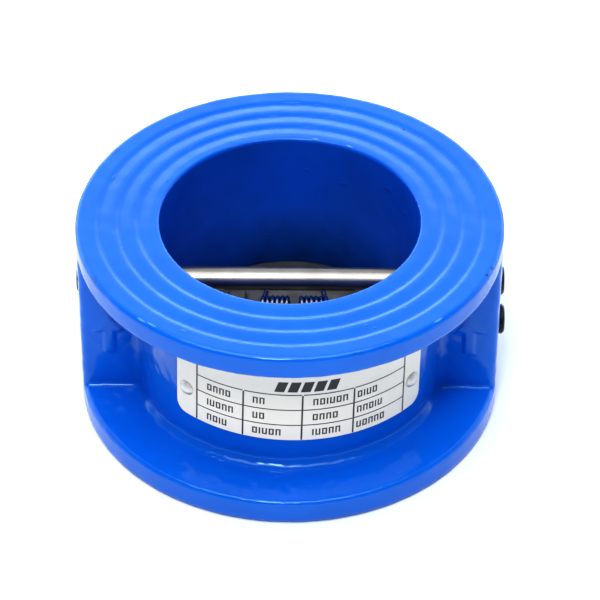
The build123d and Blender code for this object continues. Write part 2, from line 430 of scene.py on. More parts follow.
def make_seat():
    """The rubber on the chamber floor and in the ports."""
    piece = field_piece("moulded_seat", seat_shape, seat_shape, SEAT_LOW, SEAT_HIGH, SEAT_GRID)
    return settle(piece, ROOT, "epdm", "seat_ring")


def make_plates():
    """Both plates: the front one is the rear one turned half a turn about Z."""
    cast = with_lumps(plate_shape, lumps(seed=23, count=20, shortest=2.0, longest=9.0, height=0.02))
    points, quads, normals = surface_net(plate_shape, cast, PLATE_LOW, PLATE_HIGH, PLATE_GRID)
    turn = np.array((-1, -1, 1))
    rear = new_piece("rear_half_disc", points, quads, normals)
    front = new_piece("front_half_disc", points * turn, quads, normals * turn)
    return [settle(piece, body, "cast_stainless", body) for piece, body in ((rear, REAR), (front, FRONT))]


# ---- turned pieces

def ring_faces(rings, sides, joined=False):
    """Quads between rings of points, and from the last ring back to the first if joined."""
    faces = []
    for ring in range(rings if joined else rings - 1):
        here = ring * sides
        after = (ring + 1) % rings * sides
        for i in range(sides):
            j = (i + 1) % sides
            faces.append([here + i, here + j, after + j, after + i])
    return faces


def turned(name, profile, place, turns=72):
    """A profile of (height, radius) spun about local +Z. A radius may be a function of the angle.

    A profile that starts and ends on the axis is closed there; any other is joined end to end."""
    angle = np.arange(turns) * 2 * math.pi / turns
    rows = []
    for height, radius in profile:
        reach = radius(angle) if callable(radius) else np.full(turns, float(radius))
        lift = height(angle) if callable(height) else np.full(turns, float(height))
        rows.append(np.stack((reach * np.cos(angle), reach * np.sin(angle), lift), axis=1))
    on_axis = not callable(profile[0][1]) and profile[0][1] == 0
    piece = new_piece(name, np.concatenate(rows), ring_faces(len(rows), turns, joined=not on_axis))
    clean = bmesh.new()
    clean.from_mesh(piece.data)
    bmesh.ops.remove_doubles(clean, verts=clean.verts, dist=1e-7)
    bmesh.ops.recalc_face_normals(clean, faces=clean.faces)
    clean.to_mesh(piece.data)
    clean.free()
    piece.data.shade_smooth()
    piece.data.transform(place)
    return piece


def along_x(start, height, side=1):
    """Local +Z along +X, or along -X for side -1, from that X at that height."""
    return Matrix.Translation(Vector((start, 0, height)) * MM) @ Matrix.Rotation(side * math.pi / 2, 4, "Y")


def arc(centre_height, centre_radius, radius, first, last, steps):
    """Profile points on a round, with angles from the spin axis' outward direction."""
    angles = np.linspace(math.radians(first), math.radians(last), steps)
    return [(centre_height + radius * math.sin(a), centre_radius + radius * math.cos(a)) for a in angles]


def bar_of(node):
    """The lowest X, the length, the axis' height and the radius of a CAD node that lies along X."""
    low, high = box_mm(node)
    return low[0], high[0] - low[0], (low[2] + high[2]) / 2, high[1]


def round_ends(length, radius, edge, steps, between=()):
    """Profile points of a cylinder's rounded ends, with those between them."""
    profile = arc(edge, radius - edge, edge, -90, 0, steps)
    profile += [(length * share, radius) for share in between]
    return profile + arc(length - edge, radius - edge, edge, 0, 90, steps)


def make_pin(name, node):
    """A ground bar with rounded ends and a centre mark at each end."""
    start, length, height, radius = bar_of(node)
    edge = 0.45
    mark_deep = 0.5
    mark_radius = 0.6
    profile = [(mark_deep, 0), (0.0, mark_radius), (0.0, radius - edge)]
    profile += round_ends(length, radius, edge, 5, between=(0.1, 0.3, 0.5, 0.7, 0.9))
    profile += [(length, mark_radius), (length - mark_deep, 0)]
    piece = turned(name, profile, along_x(start, height), turns=96)
    return settle(piece, ROOT, "polished_stainless", node)


def make_sleeve(name, node):
    """A bearing sleeve with eased edges."""
    start, length, height, outer = bar_of(node)
    inner = PIN_BORE
    edge = 0.3
    profile = round_ends(length, outer, edge, 4)
    profile += [(length, inner + edge), (length - edge, inner), (edge, inner), (0, inner + edge)]
    piece = turned(name, profile, along_x(start, height))
    return settle(piece, ROOT, "bearing_ptfe", node)


def make_seal(name, node):
    """A soft disc, dished a little where the plug presses it."""
    start, thick, height, outer = bar_of(node)
    edge = 0.3
    dish = 0.08
    dish_radius = outer * 0.6
    profile = [(dish, 0), (0.0, dish_radius), (0.0, outer - edge)]
    profile += round_ends(thick, outer, edge, 4)
    profile += [(thick, dish_radius), (thick - dish, 0)]
    piece = turned(name, profile, along_x(start, height), turns=48)
    return settle(piece, ROOT, "seal_rubber", node)


def hexagon(apothem):
    """The radius of a hexagon's side at each angle."""
    def radius(angle):
        return apothem / np.cos((angle + math.pi / 6) % (math.pi / 3) - math.pi / 6)
    return radius


def screw_thread(height, crest, depth, pitch):
    """The radius of a thread at that height, at each angle."""
    def radius(angle):
        wave = (height / pitch - angle / (2 * math.pi)) % 1
        return crest - depth * np.abs(2 * wave - 1)
    return radius


def make_plug(name, node, side):
    """A hexagon-socket plug: threaded body, chamfered head, and a drilled socket."""
    start, length, height, crest = bar_of(node)
    pitch = 1.25
    depth = 0.55
    chamfer = 0.75
    easing = 0.1
    socket = length - 3.5
    socket_half = 2.0
    socket_cone = 0.9
    mouth = 2.75
    profile = [(0, 0), (0, crest - 1.2), (0.5, crest - chamfer)]
    thread_start = 0.8
    thread_end = length - chamfer - 0.25
    steps = int((thread_end - thread_start) / (pitch / 6))
    for level in np.linspace(thread_start, thread_end, steps):
        profile.append((level, screw_thread(level, crest, depth, pitch)))
    profile += [(length - chamfer, crest - easing / 2), (length - 0.12, crest - chamfer + easing)]
    profile += [(length, crest - chamfer - easing), (length, mouth), (length - 0.08, mouth - 0.15)]
    profile += [(length - 0.45, hexagon(socket_half + 0.05)), (length - 0.6, hexagon(socket_half))]
    profile += [(socket, hexagon(socket_half)), (socket - easing, socket_half - 0.3)]
    profile += [(socket - socket_cone, 0)]
    inner_end = start if side > 0 else start + length
    piece = turned(name, profile, along_x(inner_end, height, side))
    return settle(piece, ROOT, "black_oxide", node)


# ---- springs

WIRE_RADIUS = 0.6
COIL_RADIUS = 5.0
COIL_PITCH = 1.24
COIL_TURNS = 6
STEPS_PER_TURN = 72
LEG_LENGTH = 17.0
LEG_LEAN = 2.1
LEG_STEPS = 24
LEFT_SPRING_START = -7.55
RIGHT_SPRING_START = 2.5


def wire_route(start_x, hand, first, last):
    """The wire's centre line from one turn count to another, with the leg at an outer end.

    Turn 0 and the last turn both lie at the coil's lowest point, where the legs leave it. The leg
    over the rear plate leans a little towards the valve's middle. It leaves turn 0 where hand is
    negative, and the last turn where it is positive."""
    turn = np.linspace(first, last, int((last - first) * STEPS_PER_TURN) + 1)
    angle = hand * 2 * math.pi * turn
    x = start_x + COIL_PITCH * turn
    route = np.stack((x, COIL_RADIUS * np.sin(angle), HINGE_Z - COIL_RADIUS * np.cos(angle)), axis=1)
    along = np.array((COIL_PITCH, hand * 2 * math.pi * COIL_RADIUS, 0))
    along /= np.linalg.norm(along)
    part = np.linspace(0, 1, LEG_STEPS + 1)[1:, None]
    leg = part * LEG_LENGTH * along
    lean = part**2 * np.array((LEG_LEAN, 0, 0))
    if first == 0:
        route = np.concatenate((route[0] - leg[::-1] + lean[::-1] * (hand < 0), route))
    if last == COIL_TURNS:
        route = np.concatenate((route, route[-1] + leg - lean * (hand > 0)))
    return route


def tube(name, route, radius, sides=14):
    """A round wire along a route, with domed ends."""
    ahead = np.gradient(route, axis=0)
    ahead /= np.linalg.norm(ahead, axis=1)[:, None]
    side = np.cross(ahead[0], (0, 0, 1))
    side /= np.linalg.norm(side)
    angle = np.arange(sides) * 2 * math.pi / sides
    dome = ((0.55, 0.35), (0.4, 0.75))
    rings = []
    for number, (point, forward) in enumerate(zip(route, ahead)):
        side = side - forward * side.dot(forward)
        side /= np.linalg.norm(side)
        up = np.cross(forward, side)
        ring = radius * (np.cos(angle)[:, None] * side + np.sin(angle)[:, None] * up)
        if number == 0:
            rings += [point - forward * radius * a + ring * b for a, b in dome]
        rings.append(point + ring)
        if number == len(route) - 1:
            rings += [point + forward * radius * a + ring * b for a, b in dome[::-1]]
    faces = ring_faces(len(rings), sides)
    faces.append(list(range(sides))[::-1])
    faces.append([(len(rings) - 1) * sides + i for i in range(sides)])
    return new_piece(name, np.concatenate(rings), faces)


def make_spring(node, start_x, hand, first_plate, last_plate):
    """A torsion spring in two halves; in the valve each winds between the body and its own plate. The
    plates given for the halves are not used.
    """
    half = COIL_TURNS / 2
    begin, centre, end = (
        Vector((start_x + COIL_PITCH * turns, 0, HINGE_Z)) * MM for turns in (0, half, COIL_TURNS)
    )
    halves = (("first", 0, half, first_plate, begin), ("last", half, COIL_TURNS, last_plate, end))
    made = []
    for word, first, last, plate, outer_end in halves:
        piece = tube(f"{node}_{word}_half", wire_route(start_x, hand, first, last), WIRE_RADIUS)
        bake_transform(piece)
        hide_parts(node)
        made.append(piece)
    return made


# ---- nameplate

NAMEPLATE_THICK = 0.5
NAMEPLATE_LEFT = -27.6
NAMEPLATE_RIGHT = 32.7
NAMEPLATE_BOTTOM = 15.6
NAMEPLATE_TOP = 38.4
NAMEPLATE_CORNER = 3.0
NAMEPLATE_TILT = math.radians(-1.4)
RIVETS = ((-25.2, 25.0), (30.6, 23.4))
RIVET_HOLE_RADIUS = 1.0
INK_THICK = 0.03
INK_ROOT = 0.05


def arc_length(x):
    """How far round the barrel a point at that X is, from the front."""
    return BARREL_RADIUS * math.asin(x / (BARREL_RADIUS + NAMEPLATE_THICK))


SHEET_OUTER = BARREL_RADIUS + NAMEPLATE_THICK
SHEET_LEFT = arc_length(NAMEPLATE_LEFT)
SHEET_RIGHT = arc_length(NAMEPLATE_RIGHT)
SHEET_MIDDLE = np.array(((SHEET_LEFT + SHEET_RIGHT) / 2, (NAMEPLATE_BOTTOM + NAMEPLATE_TOP) / 2))


def rounded_outline(left, right, bottom, top, radius, steps=6):
    """The corners of a rounded rectangle, anticlockwise."""
    centres = ((right - radius, top - radius, 0), (left + radius, top - radius, 90))
    centres += ((left + radius, bottom + radius, 180), (right - radius, bottom + radius, 270))
    outline = []
    for x, z, first in centres:
        for a in np.radians(np.linspace(first, first + 90, steps)):
            outline.append((x + radius * math.cos(a), z + radius * math.sin(a)))
    return outline


def tilted(point):
    """A point of the sheet, turned about the sheet's middle by its tilt."""
    s, z = np.array(point) - SHEET_MIDDLE
    cos, sin = math.cos(NAMEPLATE_TILT), math.sin(NAMEPLATE_TILT)
    return SHEET_MIDDLE + np.array((s * cos - z * sin, s * sin + z * cos))


def bent_sheet(name, shapes, inner, outer, spacing=1.0):
    """Flat shapes, filled, given a thickness and bent round the barrel.

    A shape is a list of loops, its outline and then its holes, and a loop is a list of
    (distance round the barrel, height)."""
    flat = bmesh.new()
    for loops in shapes:
        edges = []
        for loop in loops:
            corners = [flat.verts.new((s, z, 0)) for s, z in loop]
            edges += [flat.edges.new(pair) for pair in zip(corners, corners[1:] + corners[:1])]
        bmesh.ops.triangle_fill(flat, use_beauty=True, edges=edges)
    reach = [v.co.x for v in flat.verts]
    for s in np.arange(min(reach) + spacing / 2, max(reach), spacing):
        everything = flat.verts[:] + flat.edges[:] + flat.faces[:]
        bmesh.ops.bisect_plane(flat, geom=everything, plane_co=(s, 0, 0), plane_no=(1, 0, 0))
    base = flat.faces[:]
    grown = bmesh.ops.extrude_face_region(flat, geom=base, use_keep_orig=True)
    for v in (g for g in grown["geom"] if isinstance(g, bmesh.types.BMVert)):
        v.co.z = 1
    for v in flat.verts:
        radius = inner + (outer - inner) * v.co.z
        angle = v.co.x / BARREL_RADIUS
        v.co = Vector((radius * math.sin(angle), -radius * math.cos(angle), v.co.y)) * MM
    bmesh.ops.recalc_face_normals(flat, faces=flat.faces)
    mesh = bpy.data.meshes.new(name)
    flat.to_mesh(mesh)
    flat.free()
    mesh.shade_smooth()
    mesh.set_sharp_from_angle(angle=math.radians(40))
    return linked(name, mesh)


def circle_outline(centre, radius, steps=28):
    """A circle's corners."""
    angles = np.linspace(0, 2 * math.pi, steps, endpoint=False)
    return [(centre[0] + radius * math.cos(a), centre[1] + radius * math.sin(a)) for a in angles]


def make_nameplate():
    """The bent sheet with its rounded corners and rivet holes."""
    outline = rounded_outline(SHEET_LEFT, SHEET_RIGHT, NAMEPLATE_BOTTOM, NAMEPLATE_TOP, NAMEPLATE_CORNER)
    loops = [[tilted(p) for p in outline]]
    loops += [circle_outline((arc_length(x), z), RIVET_HOLE_RADIUS) for x, z in RIVETS]
    piece = bent_sheet("bent_nameplate", [loops], BARREL_RADIUS, SHEET_OUTER)
    return settle(piece, ROOT, "nameplate_metal", "nameplate")


TABLE_COLUMNS = (-22.6, -11.1, 3.5, 16.2, 28.6)
TABLE_ROW = 4.95
TABLE_LINE = 0.42
ROW_LINE = TABLE_LINE * 0.7
TABLE_INSET = 0.12
MARK_HEIGHT = 2.05
MARK_WIDTH = 1.25
MARK_STROKE = 0.38
MARK_CORNER = 0.08
MARK_SPACING = 0.42
MARKS = ("gate", "box", "post", "tray", "box", "gate")
WORD_LENGTHS = ((4, 5, 4), (5, 2, 2), (5, 4, 6), (5, 5, 4))
WORD_INDENTS = (3.0, 2.4, 2.6, 0.9)
TITLE_BLOCKS = 5
TITLE_HEIGHT = 3.2
TITLE_LEFT = -7.4
TITLE_GAP = 1.0
BLOCK_WIDTH = 2.4
BLOCK_STEP = 3.2
BLOCK_SLANT = 1.0


def strip(left, right, bottom, top, radius=0.1):
    """A printed bar of the table, tilted with the sheet."""
    return [tilted(p) for p in rounded_outline(left, right, bottom, top, radius, steps=3)]


def table_lines():
    """The printed lines: three rows under a title, four columns, and a line beside each rivet."""
    columns = [arc_length(x) for x in TABLE_COLUMNS]
    half = TABLE_LINE / 2
    low = NAMEPLATE_BOTTOM + TABLE_INSET
    high = NAMEPLATE_TOP - TABLE_INSET
    title_line = NAMEPLATE_BOTTOM + 3 * TABLE_ROW
    lines = [strip(columns[0] - half, columns[0] + half, low, high)]
    lines.append(strip(columns[-1] - half, columns[-1] + half, low, high))
    for s in columns[1:-1]:
        lines.append(strip(s - half, s + half, low, title_line - half))
    for row in (1, 2, 3):
        z = NAMEPLATE_BOTTOM + row * TABLE_ROW
        for left, right in zip(columns, columns[1:]):
            lines.append(strip(left + half, right - half, z - ROW_LINE / 2, z + ROW_LINE / 2))
    return lines


def mark(left, bottom, kind):
    """One printed mark: one or two upright strokes, joined above, below or both."""
    gap = 0.02
    top = bottom + MARK_HEIGHT
    right = left + MARK_WIDTH
    strokes = [(left, left + MARK_STROKE, bottom, top)]
    if kind != "post":
        strokes.append((right - MARK_STROKE, right, bottom, top))
    inner = (left + MARK_STROKE + gap, right - MARK_STROKE - gap)
    if kind in ("box", "gate"):
        strokes.append((*inner, top - MARK_STROKE, top))
    if kind in ("box", "tray"):
        strokes.append((*inner, bottom, bottom + MARK_STROKE))
    return [strip(*stroke, MARK_CORNER) for stroke in strokes]


def cell_marks():
    """Rows of marks where the words were. They spell nothing."""
    strokes = []
    for column, (words, indent) in enumerate(zip(WORD_LENGTHS, WORD_INDENTS)):
        for row, count in enumerate(words):
            bottom = NAMEPLATE_BOTTOM + (row + 0.5) * TABLE_ROW - MARK_HEIGHT / 2
            left = arc_length(TABLE_COLUMNS[column]) + indent
            for number in range(count):
                kind = MARKS[(number + 2 * row + column) % len(MARKS)]
                strokes += mark(left, bottom, kind)
                left += (MARK_STROKE if kind == "post" else MARK_WIDTH) + MARK_SPACING
    return strokes


def title_blocks():
    """Slanted blocks where the name was."""
    low = NAMEPLATE_BOTTOM + 3 * TABLE_ROW + TITLE_GAP
    high = low + TITLE_HEIGHT
    middle = (arc_length(TABLE_COLUMNS[0]) + arc_length(TABLE_COLUMNS[-1])) / 2
    blocks = []
    for number in range(TITLE_BLOCKS):
        left = middle + TITLE_LEFT + number * BLOCK_STEP
        right = left + BLOCK_WIDTH
        corners = ((left, low), (right, low), (right + BLOCK_SLANT, high), (left + BLOCK_SLANT, high))
        blocks.append([tilted(p) for p in corners])
    return blocks


def make_print():
    """The ink of the table, a hair above the sheet."""
    inner = SHEET_OUTER - INK_ROOT
    outer = SHEET_OUTER + INK_THICK
    pieces = []
    for name, loops in (("table_ink", table_lines()), ("cell_marks", cell_marks() + title_blocks())):
        piece = bent_sheet(name, [[loop] for loop in loops], inner, outer)
        pieces.append(settle(piece, ROOT, "nameplate_metal"))
    return pieces


def make_rivets():
    """Two domed drive rivets, which share one CAD node."""
    head = 2.1
    tall = 1.2
    lip = 0.12
    shank = 0.9
    deep = 5.0
    curve = (head**2 + tall**2) / (2 * tall)
    centre = tall - curve
    start = math.degrees(math.asin((lip - centre) / curve)) + 4
    profile = [(-deep, 0), (-deep, shank * 0.7), (-deep + 0.5, shank), (0, shank), (0, head - lip)]
    profile += [(lip, head - 0.02)]
    profile += arc(centre, 0, curve, start, 89, 10) + [(tall, 0)]
    made = []
    for number, (x, z) in enumerate(RIVETS):
        angle = math.asin(x / SHEET_OUTER)
        outward = Vector((math.sin(angle), -math.cos(angle), 0))
        seat = outward * SHEET_OUTER + Vector((0, 0, z))
        place = Matrix.Translation(seat * MM) @ outward.to_track_quat("Z", "Y").to_matrix().to_4x4()
        made.append(turned(f"rivet_{number}", profile, place, turns=48))
    return [settle(piece, ROOT, "rivet_metal", "nameplate_rivets") for piece in made]


# ---- materials

def join(tree, value, socket):
    """Set a socket to a constant, or link another socket into it."""
    if isinstance(value, bpy.types.NodeSocket):
        tree.links.new(value, socket)
    else:
        socket.default_value = value


def add_node(tree, kind, inputs=None, **settings):
    """A shader node with its settings; inputs are values or sockets to join."""
    made = tree.nodes.new("ShaderNode" + kind)
    for key, value in settings.items():
        setattr(made, key, value)
    for key, value in (inputs or {}).items():
        join(tree, value, made.inputs[key])
    return made


def carried(tree, value, low, high, out_low=0.0, out_high=1.0, **settings):
    """A value carried from one range to another, and kept inside it."""
    inputs = {"Value": value, "From Min": low, "From Max": high, "To Min": out_low, "To Max": out_high}
    return add_node(tree, "MapRange", inputs, **settings).outputs["Result"]


POLAR_RADIUS = 0.05


class Shader:
    """A material's node tree with short ways to add and join nodes."""

    def __init__(self, name):
        self.material = bpy.data.materials.new(name)
        self.material.use_nodes = True
        self.tree = self.material.node_tree
        self.surface = self.tree.nodes["Principled BSDF"]
        self.place = self.node("TexCoord").outputs["Object"]

    def node(self, kind, inputs=None, **settings):
        """A node of this material."""
        return add_node(self.tree, kind, inputs, **settings)

    def vector(self, operation, *inputs, output="Vector"):
        """What a vector operation gives."""
        return self.node("VectorMath", dict(enumerate(inputs)), operation=operation).outputs[output]

    def set(self, **values):
        """Constants and sockets of the surface, by name with _ for spaces."""
        for key, value in values.items():
            join(self.tree, value, self.surface.inputs[key.replace("_", " ")])

    def around(self):
        """Polar coordinates: the way round at POLAR_RADIUS, the distance out, and the height."""
        flat = self.node("SeparateXYZ", {"Vector": self.place})
        angle = self.maths("ARCTAN2", flat.outputs["Y"], flat.outputs["X"])
        way = self.maths("MULTIPLY", angle, POLAR_RADIUS)
        parts = {"X": way, "Y": self.from_axis(), "Z": flat.outputs["Z"]}
        return self.node("CombineXYZ", parts).outputs["Vector"]

    def noise(self, scale, detail, stretch=None, place=None):
        """Noise with its scale in cells per metre, stretched along an axis if asked."""
        place = place or self.place
        if stretch:
            place = self.node("Mapping", {"Vector": place, "Scale": stretch}).outputs["Vector"]
        return self.node("TexNoise", {"Vector": place, "Scale": scale, "Detail": detail}).outputs["Fac"]

    def ramp(self, value, stops):
        """A colour ramp over two (position, colour) stops."""
        made = self.node("ValToRGB", {"Fac": value})
        for element, (position, colour) in zip(made.color_ramp.elements, stops):
            element.position = position
            element.color = (*colour, 1)
        return made.outputs["Color"]

    def span(self, value, low, high, out_low=0.0, out_high=1.0):
        """A value carried from one range to another, and kept inside it."""
        return carried(self.tree, value, low, high, out_low, out_high)

    def from_axis(self):
        """The distance from the valve's axis, in metres."""
        flat = self.vector("MULTIPLY", self.place, (1, 1, 0))
        return self.vector("LENGTH", flat, output="Value")

    def height(self):
        """The height above the inlet face, in metres."""
        return self.node("SeparateXYZ", {"Vector": self.place}).outputs["Z"]

    def underneath(self, low, high):
        """1 where the surface faces down more than low, 0 where it faces up more than high."""
        normal = self.node("TexCoord").outputs["Normal"]
        return self.span(self.node("SeparateXYZ", {"Vector": normal}).outputs["Z"], low, high, 1.0, 0.0)

    def runs(self, places, long, wide):
        """Small oval spots, each at an angle in degrees and a distance from the axis in metres."""
        polar = self.around()
        total = 0.0
        for degrees, radius in places:
            away = self.vector("SUBTRACT", polar, (math.radians(degrees) * POLAR_RADIUS, radius, 0))
            scaled = self.vector("MULTIPLY", away, (1 / long, 1 / wide, 0))
            length = self.vector("LENGTH", scaled, output="Value")
            total = self.maths("ADD", self.span(length, 0.3, 1.0, 1.0, 0.0), total)
        return self.maths("MULTIPLY", total, self.span(self.height(), 0.050, 0.0525))

    def scuffs(self):
        """Rubbed patches on the outlet rim, and a few dark specks on the outlet face."""
        rim = self.span(self.from_axis(), 0.0505, 0.0532)
        top = self.span(self.height(), 0.0515, 0.0535)
        patch = self.span(self.noise(95, 4), 0.60, 0.68)
        fleck = self.span(self.noise(900, 3), 0.45, 0.60)
        rubbed = self.maths("MULTIPLY", self.maths("MULTIPLY", rim, top), patch)
        spots = self.node("TexVoronoi", {"Vector": self.place, "Scale": 210.0})
        rare = self.span(self.noise(70, 2), 0.60, 0.66)
        dot = self.span(spots.outputs["Distance"], 0.05, 0.13, 1.0, 0.0)
        speck = self.maths("MULTIPLY", self.maths("MULTIPLY", dot, rare), top)
        worn = self.maths("MULTIPLY", rubbed, self.maths("MULTIPLY", fleck, 0.6))
        return self.maths("MINIMUM", self.maths("ADD", worn, speck), 1.0)

    def maths(self, operation, a, b):
        """A sum, a product or the like of two values."""
        return self.node("Math", {0: a, 1: b}, operation=operation).outputs["Value"]

    def mix(self, factor, a, b):
        """Two colours mixed."""
        a, b = (c if isinstance(c, bpy.types.NodeSocket) else (*c, 1) for c in (a, b))
        return self.node("Mix", {"Factor": factor, 6: a, 7: b}, data_type="RGBA").outputs[2]

    def bump(self, height, distance, strength, normal=None):
        """A surface relief of that height in metres, over another one."""
        inputs = {"Height": height, "Distance": distance, "Strength": strength}
        if normal is not None:
            inputs["Normal"] = normal
        return self.node("Bump", inputs).outputs["Normal"]


# Spots of paint runs on the outlet rim and mouth; their colour is also painted lighter as highlights.
PAINT_RUNS_AND_GLINTS = ((-132.0, 0.0528), (-47.0, 0.0528), (-128.5, 0.0526), (79.0, 0.0331), (63.0, 0.0331))


def epoxy():
    """Thick glossy blue powder epoxy over a casting, with painted shade in the bore and painted highlights
    at a few spots.
    """
    s = Shader("blue_epoxy_paint")
    broad = s.noise(60, 3)
    colour = s.ramp(broad, ((0.3, (0.0008, 0.108, 0.61)), (0.7, (0.0014, 0.122, 0.68))))
    # Painted shade: the paint inside the bore is given a darker, deeper blue.
    inside = s.span(s.from_axis(), 0.0323, 0.0331, 1.0, 0.0)
    colour = s.mix(inside, colour, (0.0004, 0.070, 0.60))
    # Painted shade: the bore's paint darkens towards its bottom, and random noise adds dark smears over it.
    low = s.span(s.height(), 0.012, 0.032, 0.95, 0.0)
    smear = s.span(s.noise(38, 4), 0.42, 0.62, 0.0, 0.3)
    bore_shade_and_smear = s.maths("MULTIPLY", inside, s.maths("ADD", low, smear))
    colour = s.mix(bore_shade_and_smear, colour, (0.0010, 0.020, 0.085))
    colour = s.mix(s.scuffs(), colour, (0.006, 0.03, 0.09))
    runs = s.runs(PAINT_RUNS_AND_GLINTS, 0.0016, 0.0003)
    # Painted highlights: the base colour is lightened at the run spots; only the bump of the runs is real.
    colour = s.mix(s.maths("MULTIPLY", runs, 0.45), colour, (0.20, 0.50, 0.95))
    dull = s.maths("MULTIPLY", inside, 0.2)
    gloss = s.span(s.maths("MULTIPLY", inside, s.maths("ADD", low, 0.4)), 0.0, 1.0, 0.42, 0.04)
    peel = s.noise(420, 2)
    pits = s.node("TexVoronoi", {"Vector": s.place, "Scale": 260.0}).outputs["Distance"]
    pit_depth = s.span(pits, 0.0, 0.16)
    nibs = s.span(s.noise(330, 2, stretch=(0.35, 1.0, 1.0), place=s.around()), 0.71, 0.78)
    relief = s.bump(peel, 0.00006, 0.5)
    relief = s.bump(pit_depth, 0.00005, 0.35, relief)
    relief = s.bump(nibs, 0.00016, 0.8, relief)
    relief = s.bump(runs, 0.00020, 0.8, relief)
    s.set(
        Base_Color=colour,
        Roughness=s.maths("ADD", s.span(s.noise(150, 4), 0.3, 0.7, 0.12, 0.20), dull),
        Specular_IOR_Level=gloss,
        Specular_Tint=(0.6, 0.95, 1.0, 1),
        Normal=relief,
    )
    return s.material


def stainless_cast():
    """Investment-cast stainless, blasted and lightly ground."""
    s = Shader("cast_stainless_plate")
    grain = s.noise(1800, 3)
    colour = s.ramp(s.noise(90, 4), ((0.3, (0.12, 0.118, 0.108)), (0.7, (0.20, 0.196, 0.18))))
    # Darker towards the plate's round edge.
    rim_darkening = s.span(s.from_axis(), 0.019, 0.026, 0.0, 0.75)
    s.set(
        Base_Color=s.mix(rim_darkening, colour, (0.05, 0.052, 0.047)),
        Metallic=0.75,
        Roughness=s.span(s.noise(500, 4), 0.3, 0.7, 0.46, 0.62),
        Normal=s.bump(grain, 0.00004, 0.7),
    )
    return s.material


def stainless_ground():
    """A drawn and polished bar, with fine streaks along it and a few stains, and painted shade on its
    underside.
    """
    s = Shader("ground_stainless_pin")
    streaks = s.noise(900, 3, stretch=(0.05, 2.0, 2.0))
    colour = s.ramp(s.noise(120, 3), ((0.3, (0.23, 0.223, 0.212)), (0.7, (0.30, 0.29, 0.278))))
    s.set(
        # Painted shade: the base colour goes nearly black where the bar faces down.
        Base_Color=s.mix(s.underneath(-0.45, -0.05), colour, (0.008, 0.008, 0.007)),
        Metallic=1.0,
        Roughness=s.span(streaks, 0.3, 0.7, 0.30, 0.42),
        Normal=s.bump(streaks, 0.000008, 0.3),
    )
    return s.material


def spring_steel():
    """Bright drawn wire, with painted light: bright only where it faces up, dark elsewhere."""
    s = Shader("drawn_spring_wire")
    streak = s.noise(1500, 2)
    bright = s.ramp(streak, ((0.3, (0.50, 0.48, 0.43)), (0.7, (0.66, 0.64, 0.58))))
    s.set(
        # Painted highlight and shade: the wire is bright where it faces up and painted dark where it faces
        # sideways or down.
        Base_Color=s.mix(s.underneath(0.35, 0.88), bright, (0.045, 0.042, 0.034)),
        Metallic=1.0,
        Roughness=s.span(streak, 0.3, 0.7, 0.18, 0.3),
        Normal=s.bump(streak, 0.000015, 0.5),
    )
    return s.material


def black_oxide():
    """Blackened steel, a little oily."""
    s = Shader("black_oxide_plug")
    mottle = s.noise(700, 4)
    s.set(
        Base_Color=s.ramp(mottle, ((0.35, (0.010, 0.010, 0.011)), (0.7, (0.030, 0.030, 0.032)))),
        Metallic=0.7,
        Roughness=s.span(mottle, 0.3, 0.7, 0.30, 0.48),
        Normal=s.bump(mottle, 0.00002, 0.5),
    )
    return s.material


def rubber(name, light):
    """Moulded black rubber with a faint bloom."""
    s = Shader(name)
    bloom = s.noise(140, 5)
    grain = s.noise(1600, 3)
    dark = (light * 0.6,) * 3
    pale = (light * 1.5,) * 3
    s.set(
        Base_Color=s.ramp(bloom, ((0.35, dark), (0.75, pale))),
        Roughness=s.span(bloom, 0.3, 0.7, 0.5, 0.68),
        Normal=s.bump(grain, 0.00003, 0.6),
    )
    return s.material


def white_ptfe():
    """Filled PTFE, matt and a little waxy."""
    s = Shader("bearing_ptfe_white")
    cloud = s.noise(300, 4)
    s.set(
        Base_Color=s.ramp(cloud, ((0.3, (0.66, 0.66, 0.62)), (0.7, (0.78, 0.78, 0.75)))),
        Roughness=s.span(cloud, 0.3, 0.7, 0.38, 0.5),
        Normal=s.bump(s.noise(1200, 2), 0.00002, 0.5),
    )
    return s.material


def nameplate_sheet():
    """Satin aluminium with a fine grain along the sheet."""
    s = Shader("nameplate_satin")
    grain = s.noise(700, 3, stretch=(0.12, 0.12, 3.0))
    stain = s.noise(120, 4)
    s.set(
        Base_Color=s.ramp(stain, ((0.3, (0.97, 0.91, 0.78)), (0.7, (1.0, 0.94, 0.82)))),
        Metallic=0.0,
        Roughness=s.span(grain, 0.3, 0.7, 0.30, 0.44),
        Normal=s.bump(grain, 0.00001, 0.4),
    )
    return s.material


def printing_ink(name, tone):
    """Printed ink, slightly broken up."""
    s = Shader(name)
    wear = s.noise(2600, 3)
    low = (tone * 0.7,) * 3
    high = (tone * 1.4 + 0.01,) * 3
    s.set(
        Base_Color=s.ramp(wear, ((0.35, low), (0.75, high))),
        Roughness=s.span(wear, 0.3, 0.7, 0.4, 0.6),
        Normal=s.bump(wear, 0.00001, 0.3),
    )
    return s.material


def rivet_aluminium():
    """Soft aluminium, marked by the setting punch."""
    s = Shader("rivet_aluminium")
    dents = s.noise(900, 3)
    metal = s.ramp(dents, ((0.3, (0.82, 0.79, 0.71)), (0.7, (0.93, 0.90, 0.82))))
    s.set(
        # Painted shade: the base colour darkens where the head faces down.
        Base_Color=s.mix(s.underneath(-0.70, -0.10), metal, (0.05, 0.048, 0.042)),
        Metallic=0.3,
        Roughness=s.span(dents, 0.3, 0.7, 0.42, 0.52),
        Normal=s.bump(dents, 0.00004, 0.5),
    )
    return s.material


def pale_floor():
    """A plain white studio sweep."""
    s = Shader("studio_floor")
    s.set(
        Base_Color=s.ramp(s.noise(3, 2), ((0.3, (0.84, 0.89, 0.92)), (0.7, (0.86, 0.91, 0.94)))),
        Roughness=0.9,
        Specular_IOR_Level=0.1,
    )
    return s.material


